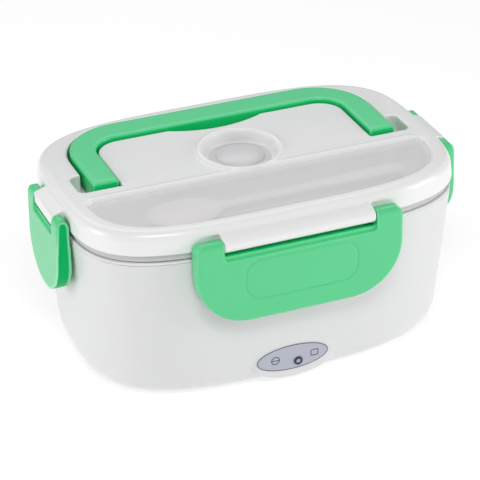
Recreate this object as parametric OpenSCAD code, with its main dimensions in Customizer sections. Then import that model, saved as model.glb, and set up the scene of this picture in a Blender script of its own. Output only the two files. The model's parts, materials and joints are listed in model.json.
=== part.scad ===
// Electric lunch box: a heated base, a lift-out food container, and a clip-down lid
// with a folding carry handle, a steam vent and a spoon compartment.
// Origin at the middle of the footprint on the table, front towards -Y, Z up.

/* [Outline] */
// Length of the lid at its rim, left to right
lid_length = 226; // [220:1:236]
// Depth of the lid at its rim, front to back
lid_depth = 153; // [150:1:158]
// Height of the lid's flat top above the table
lid_top = 109.8; // [109:0.1:111]
// Height of the lid's lower edge, where it meets the food container
lid_seat = 95.8; // [95.6:0.1:96]
// How square the lid's corners are: 2 is an ellipse, more is squarer
squareness = 3.8; // [3.5:0.1:4]
// How square the corners are at the table
base_squareness = 3.1; // [2.9:0.1:3.5]

/* [Base] */
// Wall thickness of the outer housing
housing_wall = 2.2; // [1.8:0.1:2.6]
// Inward lean of the outer side walls, mm for each mm of height
side_draft = 0.06; // [0.05:0.01:0.07]
// Inward lean of the liner's and the container's walls
inner_draft = 0.12; // [0.1:0.01:0.14]
// Width of the rounded lower edge
bottom_round = 9; // [8:0.5:10]
// Thickness of the inner liner
liner_wall = 1.6; // [1.4:0.1:2]
// Radius of each rubber foot
foot_radius = 6.5; // [5:0.5:8]

/* [Food container] */
// Wall thickness of the container
container_wall = 1.6; // [1.2:0.1:2]
// Where the side dish cup begins, to the right of the middle
cup_start = 34; // [20:1:50]

/* [Latches] */
// Half width of the front and back latches
long_latch_half = 60; // [56:1:62]
// Half width of the left and right latches
short_latch_half = 27; // [25:1:28]
// Height of the latch hinge axes above the table
latch_axis_z = 99.9; // [99.6:0.1:100.2]
// How far a latch hangs below its axis
latch_drop = 47.3; // [44:0.1:49]
// Radius of the latch's hinge pins
latch_pin_radius = 1.9; // [1.5:0.1:2.2]

/* [Handle] */
// Half width of the handle over its arms
handle_half = 92; // [91:0.5:92.5]
// Width of the arms and the grip
handle_band = 18.5; // [17:0.5:19]
// Radius of the handle's pivot pins
handle_pin_radius = 2.4; // [2:0.1:2.6]

/* [Vent] */
// Radius of the vent's round cavity
vent_radius = 20.8; // [20:0.1:21]
// Radius of the silicone dome
dome_radius = 14; // [12:0.5:15]

/* [Hidden] */

white = [0.94, 0.94, 0.94];
mint = [0.40, 0.83, 0.59];
clear = [0.80, 0.82, 0.84, 0.6];
silver = [0.75, 0.76, 0.78];
ring_points = 64;
running_fit = 0.05;

// Levels of the stack, from the table up
foot_height = 1.6;
flange_seat = lid_seat - 6.6;
container_seat = lid_seat - 4.2;
liner_floor = 22;
plate_top = liner_floor + 0.6;
container_floor = plate_top + container_wall;
cover_top = foot_height + 2;

// Side of the base: a steady lean, then a rounded lower edge
rim_inset = 0.7;
side_middle = 57;
round_top = foot_height + 16;
liner_inset = 5.2;
container_inset = 6.2;
inner_round = 12;
inner_round_top = 36;
cup_inset = 9.6;
cup_wall = 1.4;
cup_top = 88;

// Lid
lid_wall = 2;
lid_round = 4.5;
lid_round_start = 103.4;
groove_top = lid_seat + 2.4;
skirt_inset = 9;
skirt_bottom = lid_seat - 3;
recess_floor = 99;
plateau_edge = 74.9;
pocket_edge = 100.4;
recess_front = -8.6;
arm_pocket_end = 12;
scoop_half = 28;
scoop_front = 38.8;
scoop_radius = 62.7;

// Spoon trough: its own squarer outline, straight along the back
trough_half_x = 102;
trough_half_y = 67;
trough_square = 4;
trough_back = -19.2;
trough_corner = 5;
trough_floor = 98.6;
cover_seat = lid_top - 2.6;
cover_thick = 1.4;

// Spoon
bowl_x = -52;
bowl_y = -43;
bowl_half_x = 22;
bowl_half_y = 15;
bowl_depth = 6;
spoon_top = 105;
spoon_thick = 1.6;
stem_reach = 126;

// Latches and the tabs that carry them
front_axis = lid_depth / 2 + 2.7;
side_axis = lid_length / 2 + 4;
tab_radius = latch_axis_z - lid_seat;
long_tab_half = 44.4;
short_tab_half = 16.2;
tab_gap = 0.3;
tab_slope = 71;
tab_root = 6.7;
tab_rise = 6.6;
pin_length = 3.6;
long_ear_top = 3.3;
short_ear_top = 4.3;
ear_round = 3;
latch_face = 4.4;
latch_thick = 2.6;
latch_rim = 2.2;
latch_slot = 8.2;
latch_back = 6.5;
ear_back = 4.1;
ear_clear = 5.2;
waist_low = 13;
waist_high = 3;
catch_top = 83;
catch_reach = 2.1;
catch_gap = 0.1;
bead_height = 3;
base_room = 0.4;

// Handle
grip_back = 65.5;
grip_front = grip_back - handle_band;
grip_top = lid_top + 0.6;
grip_bottom = 102.2;
pivot_z = 104.8;
pivot_radius = grip_top - pivot_z;
outer_bend = 34.5;
inner_bend = 16;
bend_y = grip_back - outer_bend;
arm_inner = 76.5;

// Vent
vent_y = 5.5;
vent_floor = 104.4;
vent_lip = 2.4;
vent_tilt = 2.6;
vent_bore = 4;

// Heater plate, and what is fixed under it
plate_half_x = 56;
plate_half_y = 36;
element_top = liner_floor - 3.6;
ptc_thick = 6;
clamp_thick = 1.6;
clamp_base = element_top - ptc_thick - clamp_thick;
clamp_half = 12;
clamp_screw_y = 20;
clamp_leg = 8;
thermostat_x = 46;
thermostat_radius = 7.8;
thermostat_height = 6;
blade_y = 5;
lead_radius = 0.9;
fuse_radius = 2.2;
fuse_x = -53;
fuse_half = 7;
fuse_z = element_top - fuse_radius;
ptc_half = 35;

// Underneath
cover_half_x = 91;
cover_half_y = 53;
screw_x = 70;
screw_y = 31;
screw_hole = 1.6;
screw_head = 2.8;
screw_radius = 1.25;
post_radius = 4;
foot_x = 58;
foot_y = 34;

// Control panel boss on the front
boss_z = 14.2;
boss_half_x = 24.5;
boss_half_z = 12;
boss_face = -71.6;
boss_lean = 4;
label_half_x = 21.8;
label_half_z = 7.3;
label_rise = 2;
label_thick = 0.5;
lens_x = 2;
lens_drop = 1.4;
lens_radius = 2;
led_z = boss_z - lens_drop + 0.6;
led_radius = 1.5;
board_y = -61.6;
board_thick = 1.2;

// Power inlet at the back
inlet_z = 15.7;
inlet_half_x = 12;
inlet_half_z = 7;
inlet_face = 71.2;
inlet_depth = 9;
pin_pitch = 8.6;
pin_radius = 1.2;
pin_root_radius = 1.5;
pin_root = 7;
socket_radius = 4.3;

// ---------- outlines and solids that several parts share ----------

function signed_power(v, p) = sign(v) * pow(abs(v), p);

function oval(half_x, half_y, square = squareness, count = ring_points) =
    [for (i = [0 : count - 1])
        let (t = 360 * i / count)
        [half_x * signed_power(cos(t), 2 / square),
         half_y * signed_power(sin(t), 2 / square)]];

function arc(cx, cy, r, from, to, count = 12) =
    [for (i = [0 : count])
        let (t = from + (to - from) * i / count)
        [cx + r * cos(t), cy + r * sin(t)]];

// Faces of a solid made of equal rings stacked from the first to the last
function stack_faces(rings, n) = concat(
    [[for (i = [0 : n - 1]) i]],
    [[for (i = [0 : n - 1]) rings * n - 1 - i]],
    [for (k = [0 : rings - 2], i = [0 : n - 1])
        let (j = (i + 1) % n)
        [k * n + i, (k + 1) * n + i, (k + 1) * n + j]],
    [for (k = [0 : rings - 2], i = [0 : n - 1])
        let (j = (i + 1) % n)
        [k * n + i, (k + 1) * n + j, k * n + j]]);

// The corners grow rounder from the housing's rim down to the table
function squareness_at(z) = squareness - (squareness - base_squareness)
    * max(0, flange_seat - z) / (flange_seat - foot_height);

// levels is a list of [height, inset from the lid's outline]
module body_stack(levels) {
    points = [for (level = levels)
        each [for (p = oval(lid_length / 2 - level[1], lid_depth / 2 - level[1],
                            squareness_at(level[0])))
            [p[0], p[1], level[0]]]];
    polyhedron(points, stack_faces(len(levels), ring_points), convexity = 6);
}

function rounding(z, top, height, width) =
    z >= top ? 0 : width * (1 - sqrt(max(0, 1 - pow((top - z) / height, 2))));

function housing_inset(z) = rim_inset + side_draft * max(0, flange_seat - z)
    + rounding(z, round_top, round_top - foot_height, bottom_round);

function inner_inset(z, at_rim) = at_rim + inner_draft * (container_seat - z)
    + rounding(z, inner_round_top, inner_round_top - liner_floor, inner_round);

// Half outline with the trough's straight back and its curved front
function trough_outline(inset) =
    let (a = trough_half_x - inset,
         b = trough_half_y - inset,
         back = trough_back - inset,
         start = asin(pow(-(back - trough_corner) / b, trough_square / 2)),
         side_x = a * pow(cos(start), 2 / trough_square),
         count = 28)
    concat(
        [[side_x - trough_corner, back],
         [-side_x + trough_corner, back],
         [-side_x + 0.29 * trough_corner, back - 0.29 * trough_corner]],
        [for (i = [0 : count])
            let (t = 180 + start + (180 - 2 * start) * i / count)
            [a * signed_power(cos(t), 2 / trough_square),
             b * signed_power(sin(t), 2 / trough_square)]],
        [[side_x - 0.29 * trough_corner, back - 0.29 * trough_corner]]);

module trough_stack(levels) {
    count = len(trough_outline(0));
    points = [for (level = levels)
        each [for (p = trough_outline(level[1])) [p[0], p[1], level[0]]]];
    polyhedron(points, stack_faces(len(levels), count), convexity = 6);
}

// A round lead through the points of a path
function unit(v) = v / norm(v);
module lead(path, r, sides = 6) {
    last = len(path) - 1;
    points = [for (i = [0 : last])
        let (dir = unit(path[min(i + 1, last)] - path[max(i - 1, 0)]),
             side = unit(cross(dir, [0.1, 0.2, 1])),
             up = cross(dir, side))
        each [for (s = [0 : sides - 1])
            path[i] + r * (cos(360 * s / sides) * side + sin(360 * s / sides) * up)]];
    polyhedron(points, stack_faces(last + 1, sides), convexity = 4);
}

module plate(points, bottom, height) {
    translate([0, 0, bottom])
        linear_extrude(height)
            polygon(points);
}

module at_corners(x, y) {
    for (sx = [-1, 1], sy = [-1, 1])
        translate([sx * x, sy * y, 0])
            children();
}

// ---------- base ----------

module boss_plate(grow, back, front) {
    translate([0, boss_face, boss_z])
        rotate([90 + boss_lean, 0, 0])
            translate([0, 0, -back])
                linear_extrude(back + front)
                    polygon(oval(boss_half_x + grow, boss_half_z + grow, 2, 48));
}

module catch_rib(half, reach) {
    translate([-half, -reach, catch_top])
        cube([2 * half, 5, bead_height]);
}

// The rails moulded on the outside of the housing, which the latches snap under
module catch_rails() {
    color(white)
    difference() {
        union() {
            for (turn = [0, 180])
                rotate([0, 0, turn])
                    catch_rib(catch_half(long_latch_half), lid_depth / 2 - rim_inset + catch_reach);
            for (turn = [90, 270])
                rotate([0, 0, turn])
                    catch_rib(catch_half(short_latch_half), lid_length / 2 - rim_inset + catch_reach);
        }
        body_stack([for (z = [side_middle, flange_seat]) [z, housing_inset(z)]]);
    }
}

function cover_outline(grow) =
    oval(cover_half_x + grow, cover_half_y + grow, base_squareness);

module base_housing() {
    heights = [foot_height, 2.1, 3.4, 5.4, 8, 12, round_top, side_middle, flange_seat];
    inside = [5.8, 8, 12, round_top, flange_seat + 1];
    color(white)
    difference() {
        union() {
            difference() {
                body_stack([for (z = heights) [z, housing_inset(z)]]);
                body_stack([for (z = inside) [z, housing_inset(z) + housing_wall]]);
            }
            intersection() {
                boss_plate(0, 8, 0);
                translate([-30, -76, foot_height])
                    cube([60, 14, boss_z + boss_half_z]);
            }
        }
        plate(cover_outline(0.3), foot_height - 1, 3);
        plate(cover_outline(-3), foot_height - 1, 9);
        lens_hole();
        translate([-inlet_half_x - 0.2, 55, inlet_z - inlet_half_z - 0.2])
            cube([2 * inlet_half_x + 0.4, 30, 2 * inlet_half_z + 0.4]);
    }
}

module lens_axis() {
    translate([lens_x, boss_face, boss_z])
        rotate([90 + boss_lean, 0, 0])
            translate([0, -lens_drop, 0])
                children();
}

module lens_hole() {
    lens_axis()
        translate([0, 0, -12])
            cylinder(r = lens_radius + running_fit, h = 20, $fn = 32);
}

module base_liner() {
    inner = [liner_floor, 23, 25.5, 29.5, inner_round_top, container_seat];
    outer_rim = [[flange_seat, inner_inset(flange_seat, liner_inset) - liner_wall],
                 [flange_seat, rim_inset], [container_seat, rim_inset]];
    color(white)
    difference() {
        union() {
            body_stack(concat(
                [[liner_floor - 2, inner_inset(liner_floor, liner_inset) - 0.6]],
                [for (z = [22.4, 25.5, 29.5, inner_round_top])
                    [z - 1, inner_inset(z, liner_inset) - liner_wall]],
                outer_rim));
            at_corners(screw_x, screw_y)
                translate([0, 0, cover_top])
                    cylinder(r = post_radius, h = liner_floor - 1 - cover_top, $fn = 32);
        }
        body_stack(concat([for (z = inner) [z, inner_inset(z, liner_inset)]],
            [[container_seat + 1, liner_inset]]));
        plate(plate_outline(0), liner_floor - 4, 8);
        at_corners(screw_x, screw_y)
            translate([0, 0, cover_top - 1])
                cylinder(r = screw_radius + running_fit, h = 13, $fn = 24);
    }
}

module bottom_cover() {
    color(white)
    difference() {
        plate(cover_outline(0), foot_height, cover_top - foot_height);
        at_corners(screw_x, screw_y) {
            translate([0, 0, foot_height - 1])
                cylinder(r = screw_hole, h = 5, $fn = 24);
            translate([0, 0, foot_height - 1])
                cylinder(r = screw_head + 0.3, h = 2.2, $fn = 32);
        }
        at_corners(foot_x, foot_y)
            translate([0, 0, foot_height - 1])
                cylinder(r = foot_radius + 0.05, h = 2.2, $fn = 48);
        for (i = [-5 : 5])
            translate([7 * i, 0, foot_height])
                cube([2.4, 26, 6], center = true);
    }
}

module foot(sx, sy) {
    color("gray")
    translate([sx * foot_x, sy * foot_y, 0]) {
        cylinder(r1 = foot_radius - 0.8, r2 = foot_radius, h = 0.8, $fn = 48);
        translate([0, 0, 0.8])
            cylinder(r = foot_radius, h = foot_height + 1.2 - 0.8, $fn = 48);
    }
}

module foot_front_left() { foot(-1, -1); }
module foot_front_right() { foot(1, -1); }
module foot_rear_left() { foot(-1, 1); }
module foot_rear_right() { foot(1, 1); }

module cover_screws() {
    color(silver)
    at_corners(screw_x, screw_y)
        difference() {
            union() {
                translate([0, 0, foot_height + 0.2])
                    cylinder(r = screw_head, h = 1, $fn = 32);
                translate([0, 0, foot_height + 1])
                    cylinder(r = screw_radius, h = 10, $fn = 24);
            }
            translate([0, 0, foot_height + 0.4])
                cube([3.2, 0.7, 0.8], center = true);
            translate([0, 0, foot_height + 0.4])
                cube([0.7, 3.2, 0.8], center = true);
        }
}

// ---------- heater and wiring ----------

function plate_outline(grow) = oval(plate_half_x + grow, plate_half_y + grow, 2.6);

module heater_plate() {
    color(silver) {
        plate(plate_outline(-0.4), liner_floor - 2.4, 3);
        plate(plate_outline(4), element_top, 1.6);
    }
}

module ptc_heater() {
    color("tan")
    translate([-ptc_half, -14, element_top - ptc_thick])
        cube([2 * ptc_half, 28, ptc_thick]);
}

module heater_clamp() {
    reach = clamp_screw_y + clamp_leg / 2;
    color(silver)
    difference() {
        union() {
            translate([-clamp_half, -reach, clamp_base])
                cube([2 * clamp_half, 2 * reach, clamp_thick]);
            for (side = [-1, 1])
                translate([-clamp_half, side * clamp_screw_y - clamp_leg / 2, clamp_base])
                    cube([2 * clamp_half, clamp_leg, element_top - clamp_base]);
        }
        for (side = [-1, 1])
            translate([0, side * clamp_screw_y, clamp_base - 1])
                cylinder(r = screw_hole, h = 12, $fn = 24);
    }
}

module clamp_screws() {
    color("gold")
    for (side = [-1, 1])
        translate([0, side * clamp_screw_y, clamp_base]) {
            translate([0, 0, -clamp_thick])
                cylinder(r = screw_head, h = clamp_thick, $fn = 6);
            cylinder(r = 1.5, h = element_top - clamp_base, $fn = 24);
        }
}

module thermostat() {
    color("ivory")
    translate([thermostat_x, 0, element_top - thermostat_height]) {
        cylinder(r = thermostat_radius, h = thermostat_height, $fn = 40);
        for (side = [-1, 1])
            translate([-0.4, side * blade_y - 1.5, -4.5])
                cube([0.8, 3, 5]);
    }
}

module thermal_fuse() {
    color("ivory")
    translate([fuse_x, 0, fuse_z])
        rotate([90, 0, 0])
            cylinder(r = fuse_radius, h = 2 * fuse_half, center = true, $fn = 24);
}

module indicator_board() {
    color("olive")
    difference() {
        translate([-12, board_y, led_z - 6])
            cube([24, board_thick, 12]);
        translate([lens_x, board_y + board_thick / 2, led_z])
            rotate([90, 0, 0])
                cylinder(r = 0.8, h = 6, center = true, $fn = 16);
    }
}

module indicator_led() {
    color("orange")
    translate([lens_x, board_y, led_z])
        rotate([90, 0, 0]) {
            cylinder(r = led_radius, h = 2.6, $fn = 24);
            translate([0, 0, 2.6])
                sphere(r = led_radius, $fn = 24);
        }
}

module indicator_lens() {
    color(clear)
    lens_axis()
        translate([0, 0, -5])
            cylinder(r = lens_radius, h = 6, $fn = 32);
}

module control_label() {
    color([0.70, 0.72, 0.79])
    difference() {
        translate([0, boss_face, boss_z])
            rotate([90 + boss_lean, 0, 0])
                translate([0, label_rise, 0])
                    linear_extrude(label_thick)
                        polygon(oval(label_half_x, label_half_z, 2, 56));
        lens_hole();
    }
}

module power_inlet() {
    color([0.12, 0.12, 0.13])
    translate([0, 0, inlet_z])
        difference() {
            union() {
                translate([-inlet_half_x, inlet_face - inlet_depth - 3, -inlet_half_z])
                    cube([2 * inlet_half_x, inlet_depth + 3, 2 * inlet_half_z]);
                translate([-inlet_half_x - 1.5, inlet_face - 5.6, -inlet_half_z])
                    cube([2 * inlet_half_x + 3, 1.2, 2 * inlet_half_z]);
            }
            for (side = [-1, 1])
                translate([side * pin_pitch / 2, inlet_face + 1, 0])
                    rotate([90, 0, 0])
                        cylinder(r = socket_radius, h = inlet_depth + 1, $fn = 48);
            translate([-pin_pitch / 2, inlet_face - inlet_depth, -socket_radius])
                cube([pin_pitch, inlet_depth + 1, 2 * socket_radius]);
            for (side = [-1, 1])
                translate([side * pin_pitch / 2, inlet_face - inlet_depth + 1, 0])
                    rotate([90, 0, 0])
                        cylinder(r = pin_root_radius, h = 10, $fn = 24);
        }
}

module inlet_pins() {
    color(silver)
    for (side = [-1, 1])
        translate([side * pin_pitch / 2, inlet_face - inlet_depth, inlet_z])
            rotate([90, 0, 0]) {
                translate([0, 0, 1 - inlet_depth])
                    cylinder(r = pin_radius, h = inlet_depth - 1, $fn = 24);
                cylinder(r = pin_root_radius, h = pin_root, $fn = 24);
            }
}

module supply_leads() {
    start_y = inlet_face - inlet_depth - pin_root;
    color("white")
    lead([[pin_pitch / 2, start_y, inlet_z], [pin_pitch / 2, start_y - 2, inlet_z],
          [6, start_y - 7, 12], [30, 44, 8],
          [42, 24, 6.6], [thermostat_x, 10, 6.2], [thermostat_x, 5.6, 6.9]], lead_radius);
    color("steelblue")
    lead([[-pin_pitch / 2, start_y, inlet_z], [-pin_pitch / 2, start_y - 2, inlet_z],
          [-8, start_y - 7, 12], [-36, 40, 8], [-50, 20, 8], [-53, 13, 13],
          [fuse_x, fuse_half + 2.5, fuse_z], [fuse_x, fuse_half, fuse_z]], lead_radius);
}

module heater_leads() {
    color("firebrick")
    lead([[thermostat_x, -5.6, 6.9], [thermostat_x, -10, 6.2], [42, -14, 7], [39.5, -10, 11],
          [ptc_half + 2.5, -6, 15], [ptc_half, -6, 15]], lead_radius);
    color("steelblue")
    lead([[fuse_x, -fuse_half, fuse_z], [fuse_x, -fuse_half - 2.5, fuse_z], [-51, -13, 14],
          [-44, -13, 12], [-39.5, -9, 14], [-ptc_half - 2.5, -6, 15], [-ptc_half, -6, 15]],
         lead_radius);
}

// ---------- food container ----------

module food_container() {
    outer = [plate_top, 23.8, 26.4, 30.4, inner_round_top];
    shift = container_floor - plate_top;
    color(clear)
    difference() {
        body_stack(concat(
            [for (z = outer) [z, inner_inset(z - 0.6, container_inset)]],
            [[lid_seat - 1.6, container_inset], [lid_seat - 1.6, 3.2],
             [container_seat, 3.2], [container_seat, 1.8], [lid_seat, 1.8]]));
        body_stack(concat(
            [for (z = outer)
                [z + shift, inner_inset(z - 0.6, container_inset) + container_wall]],
            [[container_seat, container_inset + container_wall],
             [lid_seat + 1, container_inset + container_wall]]));
    }
}

module cup_part(extra, low, high, start) {
    levels = [low, low + 1.2, low + 3.8, low + 7.8, low + 13.4, high];
    intersection() {
        body_stack([for (z = levels)
            [z, inner_inset(z - low + liner_floor, cup_inset + extra)]]);
        translate([start, -80, 0])
            cube([90, 160, 120]);
    }
}

module side_dish_cup() {
    color([0.9, 0.92, 0.93, 0.7])
    difference() {
        cup_part(0, container_floor, cup_top, cup_start);
        cup_part(cup_wall, container_floor + cup_wall, cup_top + 4, cup_start + cup_wall);
    }
}

// ---------- lid ----------

module handle_plan(grow, front) {
    outer_x = handle_half + grow;
    inner_x = arm_inner - grow;
    polygon(concat(
        [[outer_x, front]],
        arc(handle_half - outer_bend, bend_y, outer_bend + grow, 0, 90),
        arc(-handle_half + outer_bend, bend_y, outer_bend + grow, 90, 180),
        [[-outer_x, front], [-inner_x, front]],
        arc(-58, grip_front - inner_bend, inner_bend - grow, 180, 90),
        arc(58, grip_front - inner_bend, inner_bend - grow, 90, 0),
        [[inner_x, front]]));
}

// The channel that the folded handle lies in, with a wider pocket at each arm's end
// and a scoop in front of the grip for the fingers
module recess_plan(grow) {
    handle_plan(1.6 + grow, recess_front - grow);
    arm_pockets(grow);
    intersection() {
        translate([0, scoop_front + scoop_radius])
            circle(r = scoop_radius + grow, $fn = 96);
        translate([-scoop_half - grow, scoop_front - 5])
            square([2 * (scoop_half + grow), grip_front - scoop_front + 5]);
    }
}

module arm_pockets(grow) {
    for (side = [-1, 1])
        translate([side * (handle_half + pocket_edge) / 2, (arm_pocket_end + recess_front) / 2])
            square([pocket_edge - handle_half + 2 * grow,
                    arm_pocket_end - recess_front + 2 * grow], center = true);
}

// Tab that a latch hinges on, along X, the hinge axis at the origin, outward is -Y
module hinge_tab(half, depth) {
    translate([-half, 0, 0])
        rotate([90, 0, 90])
            linear_extrude(2 * half)
                polygon(concat(
                    [[depth, -tab_radius]],
                    arc(0, 0, tab_radius, -90, -180 - tab_slope, 10),
                    [[tab_root, tab_rise], [depth, tab_rise]]));
}

// The first child at the front and back hinge axes, the second at the left and right
module on_four_sides() {
    for (turn = [0, 180])
        rotate([0, 0, turn])
            translate([0, -front_axis, latch_axis_z])
                children(0);
    for (turn = [90, 270])
        rotate([0, 0, turn])
            translate([0, -side_axis, latch_axis_z])
                children(1);
}

module pin_bores(half) {
    for (side = [-1, 1])
        translate([side * (half - pin_length / 2), 0, 0])
            rotate([0, 90, 0])
                cylinder(r = latch_pin_radius + running_fit, h = pin_length + 0.8,
                         center = true, $fn = 32);
}

module lid_outside() {
    rise = lid_top - lid_round_start;
    body_stack(concat(
        [[lid_seat, 0.4], [lid_seat + 0.6, 0], [lid_seat + 4, 0.1], [lid_round_start, 0.5]],
        [for (a = [18 : 18 : 90])
            [lid_round_start + rise * sin(a), 0.5 + lid_round * (1 - cos(a))]]));
}

module lid_inside() {
    body_stack([[skirt_bottom - 2, skirt_inset + lid_wall], [groove_top + 1.8, skirt_inset + lid_wall],
                [groove_top + 1.8, 2.4], [103.2, 2.6], [105.8, 4], [107, 6.4],
                [lid_top - lid_wall, 10]]);
}

module trough_hollow() {
    trough_stack([[trough_floor, 14], [trough_floor + 0.5, 9], [101, 5.5], [104, 3.6],
                  [cover_seat, 3], [cover_seat, 0.8], [lid_top + 1, 0]]);
}

// The trough's own walls, hanging below the lid's top
module trough_walls() {
    trough_stack([[trough_floor - 1.6, 12.4], [trough_floor - 1.1, 7.4], [99.4, 3.9],
                  [103.2, 2], [105, -1], [lid_top - 1, -1]]);
}

// Channel that the seal sits in
module seal_groove() {
    difference() {
        body_stack([[lid_seat - 1, 2.4], [groove_top, 2.4]]);
        body_stack([[lid_seat - 2, skirt_inset], [groove_top + 1, skirt_inset]]);
    }
}

module lid_shell() {
    color(white)
    difference() {
        union() {
            difference() {
                union() {
                    lid_outside();
                    on_four_sides() {
                        hinge_tab(long_tab_half, 9);
                        hinge_tab(short_tab_half, 9);
                    }
                }
                lid_inside();
            }
            intersection() {
                lid_outside();
                union() {
                    translate([0, 0, recess_floor - 1.6])
                        linear_extrude(lid_top)
                            recess_plan(1.6);
                    trough_walls();
                    translate([0, vent_y, vent_floor - 1.6])
                        cylinder(r = vent_radius + 1.8, h = 8, $fn = 72);
                    for (side = [-1, 1])
                        translate([side * (plateau_edge - 3), 0, pivot_z])
                            rotate([0, 90, 0])
                                cylinder(r = 4.4, h = 6, center = true, $fn = 32);
                }
            }
            skirt();
            vent_lip_ring();
        }
        translate([0, 0, recess_floor])
            linear_extrude(20)
                recess_plan(0);
        trough_hollow();
        seal_groove();
        translate([0, vent_y, vent_floor])
            cylinder(r = vent_radius, h = 20, $fn = 72);
        translate([0, vent_y, vent_floor - 5])
            cylinder(r = vent_bore, h = 10, $fn = 36);
        for (side = [-1, 1])
            translate([side * (plateau_edge - 2), 0, pivot_z])
                rotate([0, 90, 0])
                    cylinder(r = handle_pin_radius + running_fit, h = 4.4, center = true, $fn = 32);
        on_four_sides() {
            union() {
                pin_bores(long_tab_half);
                ear_relief(long_tab_half, long_latch_half);
            }
            union() {
                pin_bores(short_tab_half);
                ear_relief(short_tab_half, short_latch_half);
            }
        }
    }
}

// Flat behind each ear, so that the ear can turn past the lid
module ear_relief(tab_half, latch_half) {
    width = latch_half - tab_half + 0.8;
    for (side = [-1, 1])
        translate([side * (tab_half + width / 2), ear_clear - 10, 0])
            cube([width, 20, 11], center = true);
}

module skirt() {
    difference() {
        body_stack([[skirt_bottom, skirt_inset + 0.4], [lid_seat, skirt_inset],
                    [groove_top + 1, skirt_inset]]);
        body_stack([[skirt_bottom - 1, skirt_inset + lid_wall],
                    [groove_top + 3, skirt_inset + lid_wall]]);
    }
}

module vent_lip_ring() {
    translate([0, vent_y, lid_top - 0.5])
        rotate([vent_tilt, 0, 0])
            rotate_extrude($fn = 72)
                translate([vent_radius + vent_lip - 0.3, 0])
                    circle(r = vent_lip, $fn = 32);
}

module lid_seal() {
    color([0.85, 0.85, 0.86])
    difference() {
        body_stack([[lid_seat, 3.4], [groove_top, 3.4]]);
        body_stack([[lid_seat - 1, 7.4], [groove_top + 1, 7.4]]);
    }
}

module steam_vent_plug() {
    color([0.82, 0.82, 0.82])
    translate([0, vent_y, 0])
        rotate_extrude($fn = 72)
            polygon(concat(
                [[0, vent_floor - 4], [vent_bore - running_fit, vent_floor - 4],
                 [vent_bore - running_fit, vent_floor], [dome_radius + 4, vent_floor],
                 [dome_radius + 4, vent_floor + 1.2], [dome_radius, vent_floor + 1.4]],
                [for (a = [10 : 10 : 90])
                    [dome_radius * cos(a), vent_floor + 1.4 + 2.8 * sin(a)]]));
}

module carry_handle() {
    color(mint) {
        intersection() {
            translate([0, 0, recess_floor])
                linear_extrude(grip_top - recess_floor)
                    handle_plan(0, -pivot_radius - 1);
            translate([-handle_half - 1, 0, 0])
                rotate([90, 0, 90])
                    linear_extrude(2 * handle_half + 2)
                        union() {
                            translate([0, pivot_z])
                                circle(r = pivot_radius, $fn = 48);
                            polygon([[0, grip_top], [0, pivot_z - pivot_radius],
                                     [5, grip_bottom - 1.6], [9, grip_bottom],
                                     [grip_back + 1, grip_bottom], [grip_back + 1, grip_top]]);
                        }
        }
        for (side = [-1, 1])
            translate([side * (arm_inner - 1.4), 0, pivot_z])
                rotate([0, 90, 0])
                    cylinder(r = handle_pin_radius, h = 5, center = true, $fn = 32);
    }
}

// ---------- latches ----------

function ear_top(half) = half > 40 ? long_ear_top : short_ear_top;

// Outline of a latch seen from outside: straight top, large lower corners
function latch_outline(half, inset) =
    let (r = min(half - 1, 28), wide = half - inset, top = ear_top(half) - inset)
    concat(
        [[wide, top]],
        [[-wide, top]],
        arc(-half + r, -latch_drop + r, r - inset, 180, 270, 10),
        arc(half - r, -latch_drop + r, r - inset, 270, 360, 10));

module latch_slab(half, inset, from, to) {
    translate([0, -from, 0])
        rotate([90, 0, 0])
            linear_extrude(to - from)
                polygon(latch_outline(half, inset));
}

// Latch with its hinge axis on X through the origin, outward is -Y
module latch(half, tab_half) {
    ear_in = tab_half + tab_gap;
    bead_half = catch_half(half);
    bead_top = catch_top - catch_gap - latch_axis_z;
    reach = latch_bead_reach(half);
    difference() {
        intersection() {
            hull() {
                latch_slab(half, 0, -latch_back, latch_face - 1.2);
                latch_slab(half, 1.2, latch_face - 1.2, latch_face);
            }
            ear_profile(half);
        }
        // hollow behind the face
        intersection() {
            latch_slab(half, latch_rim, -latch_back - 1, latch_face - latch_thick);
            translate([-half, -50, -latch_drop - 1])
                cube([2 * half, 100, latch_drop + 1 - latch_slot - latch_rim]);
        }
        // slot for the lid's tab
        translate([-ear_in, -20, -latch_slot])
            cube([2 * ear_in, 40, 30]);
        // the lower rim is shallow below the bead, so it passes the catch rib
        translate([-bead_half - 1, reach, -latch_drop - 1])
            cube([2 * bead_half + 2, 20, bead_top + latch_drop - bead_height + 1]);
    }
    // bead that snaps under the catch
    translate([-bead_half, -latch_face + latch_thick - 0.5, bead_top - bead_height])
        cube([2 * bead_half, reach + latch_face - latch_thick + 0.5, bead_height]);
    for (side = [-1, 1])
        translate([side * (ear_in - pin_length / 2 + 0.5), 0, 0])
            rotate([0, 90, 0])
                cylinder(r = latch_pin_radius, h = pin_length + 1, center = true, $fn = 32);
}

// Half length of a catch rib and of the bead under it
function catch_half(half) = half > 40 ? half - 22 : half - 10;

// Distance from a latch's hinge axis to the lid's outline
function body_gap(half) =
    half > 40 ? front_axis - lid_depth / 2 : side_axis - lid_length / 2;

// How far behind the hinge axis the bead ends: just clear of the catch rib
function latch_bead_reach(half) = body_gap(half) + rim_inset - catch_reach - catch_gap;

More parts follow.
